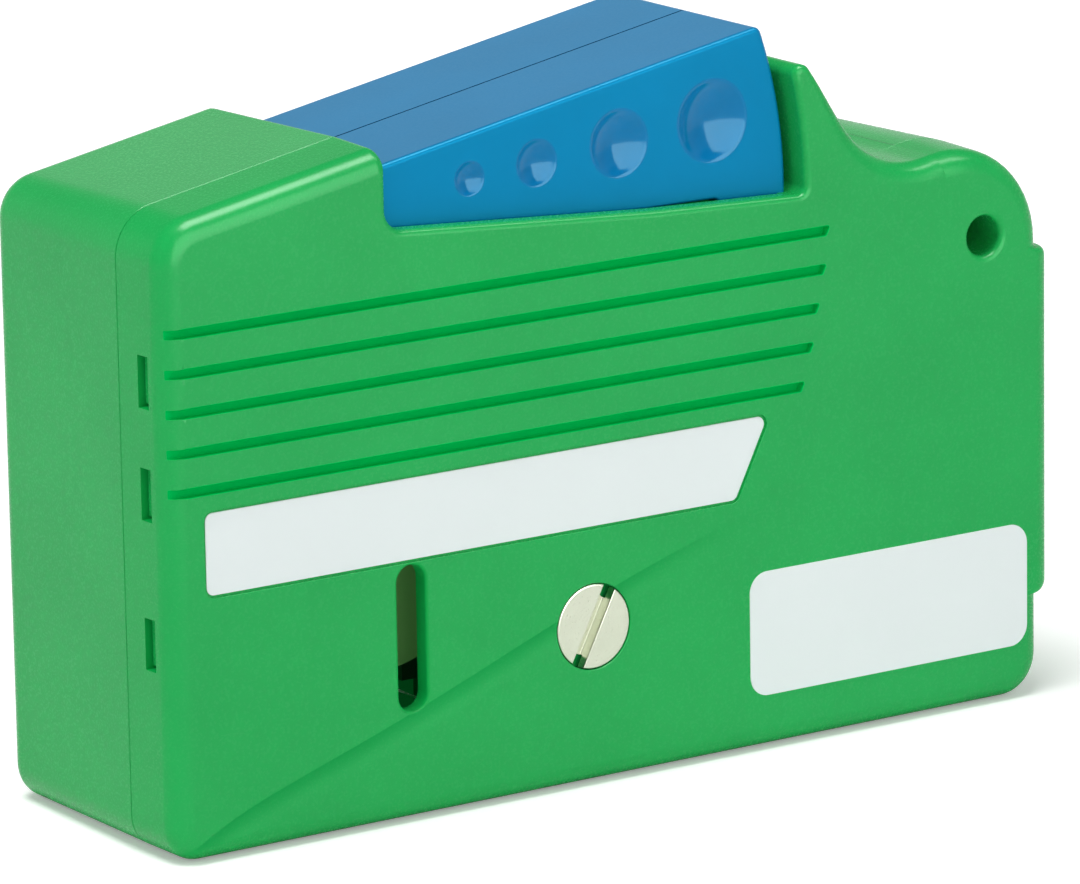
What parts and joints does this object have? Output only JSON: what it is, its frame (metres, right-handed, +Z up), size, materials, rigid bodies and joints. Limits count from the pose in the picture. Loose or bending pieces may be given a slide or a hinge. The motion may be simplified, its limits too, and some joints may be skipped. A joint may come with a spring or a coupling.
{
  "type": "fibre optic connector cleaning cassette",
  "caption": "Reel type fibre connector cleaning cassette with a thumb lever, clamshell case, lanyard hole, coin screw and sliding window shutter in its base.",
  "frame": {"origin": "middle of the bounding box at the base, on the surface the case stands on", "axes": "+X along the case from the supply reel's end to the lanyard end, +Y from the front face to the rear, +Z up"},
  "size_m": [0.1196, 0.0366, 0.0823],
  "materials": {
    "green_shell": "semi-gloss moulded ABS, fine spark texture",
    "blue_lever": "semi-gloss moulded ABS",
    "steel": "turned bright steel",
    "nickel": "nickel plated, satin",
    "brass": "machined",
    "natural_acetal": "moulded acetal",
    "grey_plastic": "moulded plastic",
    "olive_plastic": "moulded plastic",
    "door_plastic": "moulded, smooth",
    "cleaning_cloth": "woven microfibre tape",
    "felt": "pressed felt",
    "pad_rubber": "soft moulded rubber",
    "label_film": "satin polyester film, blank"
  },
  "bodies": {
    "case": {"front_cover": "green_shell", "rear_shell": "green_shell", "lever_pivot_pin": "steel", "cleaning_tape": "cleaning_cloth", "roller_pins": "steel", "reel_axles": "steel", "brake_washer": "felt", "stop_pawl_pin": "steel", "tape_frame": "grey_plastic", "frame_screws": "steel", "platen_holder": "grey_plastic", "platen_pad": "pad_rubber", "slot_plate": "natural_acetal", "return_spring": "steel", "threaded_insert": "brass", "name_plate": "label_film", "sticker": "label_film"},
    "lever": {"lever_front_half": "blue_lever", "lever_rear_half": "blue_lever", "drive_sector": "natural_acetal", "sector_screws": "steel"},
    "drive_wheel": {"drive_gear": "natural_acetal", "drive_pawl": "natural_acetal"},
    "take_up": {"take_up_reel": "natural_acetal", "used_tape_winding": "cleaning_cloth"},
    "supply": {"supply_reel": "olive_plastic", "fresh_tape_winding": "cleaning_cloth"},
    "left_roller": {"left_guide_roller": "grey_plastic"},
    "right_roller": {"right_guide_roller": "grey_plastic"},
    "door": {"shutter": "door_plastic"},
    "lock_screw": {"coin_screw": "nickel", "screw_washer": "natural_acetal"},
    "reel_stop": {"stop_pawl": "natural_acetal"}
  },
  "joints": [
    {"name": "lever_press", "type": "hinge", "parent": "case", "child": "lever", "pos_m": [-0.0298, -0.00173, 0.0638], "axis": [0, 1, 0], "range_deg": [0, 14], "stiffness_Nm_per_rad": 1, "springref_deg": -20.05, "deforming": ["return_spring"]},
    {"name": "drive_wheel_turn", "type": "hinge", "parent": "case", "child": "drive_wheel", "pos_m": [0.02409, 0.00987, 0.03116], "axis": [0, 1, 0], "range_deg": [-97, 0]},
    {"name": "take_up_turn", "type": "hinge", "parent": "case", "child": "take_up", "pos_m": [0.02409, -0.00313, 0.03116], "axis": [0, 1, 0], "range_deg": [-97, 0]},
    {"name": "supply_turn", "type": "hinge", "parent": "case", "child": "supply", "pos_m": [-0.0288, -0.00313, 0.033], "axis": [0, 1, 0], "range_deg": [-71, 0]},
    {"name": "left_roller_turn", "type": "hinge", "parent": "case", "child": "left_roller", "pos_m": [-0.0098, -0.00313, 0.0086], "axis": [0, 1, 0], "range_deg": [-331, 0]},
    {"name": "right_roller_turn", "type": "hinge", "parent": "case", "child": "right_roller", "pos_m": [0.0406, -0.00313, 0.0086], "axis": [0, 1, 0], "range_deg": [-331, 0]},
    {"name": "shutter_slide", "type": "slide", "parent": "case", "child": "door", "axis": [1, 0, 0], "range_m": [0, 0.022]},
    {"name": "coin_screw_turn", "type": "hinge", "parent": "case", "child": "lock_screw", "pos_m": [-0.0048, -0.01213, 0.0181], "axis": [0, 1, 0], "continuous": true},
    {"name": "stop_pawl_lift", "type": "hinge", "parent": "case", "child": "reel_stop", "pos_m": [0.04637, 0.00487, 0.03639], "axis": [0, 1, 0], "range_deg": [0, 8], "stiffness_Nm_per_rad": 0.02, "springref_deg": -8.59}
  ],
  "couplings": [
    {"joint": "drive_wheel_turn", "follows": "lever_press", "ratio": -6.875},
    {"joint": "take_up_turn", "follows": "lever_press", "ratio": -6.875},
    {"joint": "supply_turn", "follows": "lever_press", "ratio": -5},
    {"joint": "left_roller_turn", "follows": "lever_press", "ratio": -23.571},
    {"joint": "right_roller_turn", "follows": "lever_press", "ratio": -23.571},
    {"joint": "shutter_slide", "follows": "lever_press", "m_per_rad": 0.089375}
  ]
}
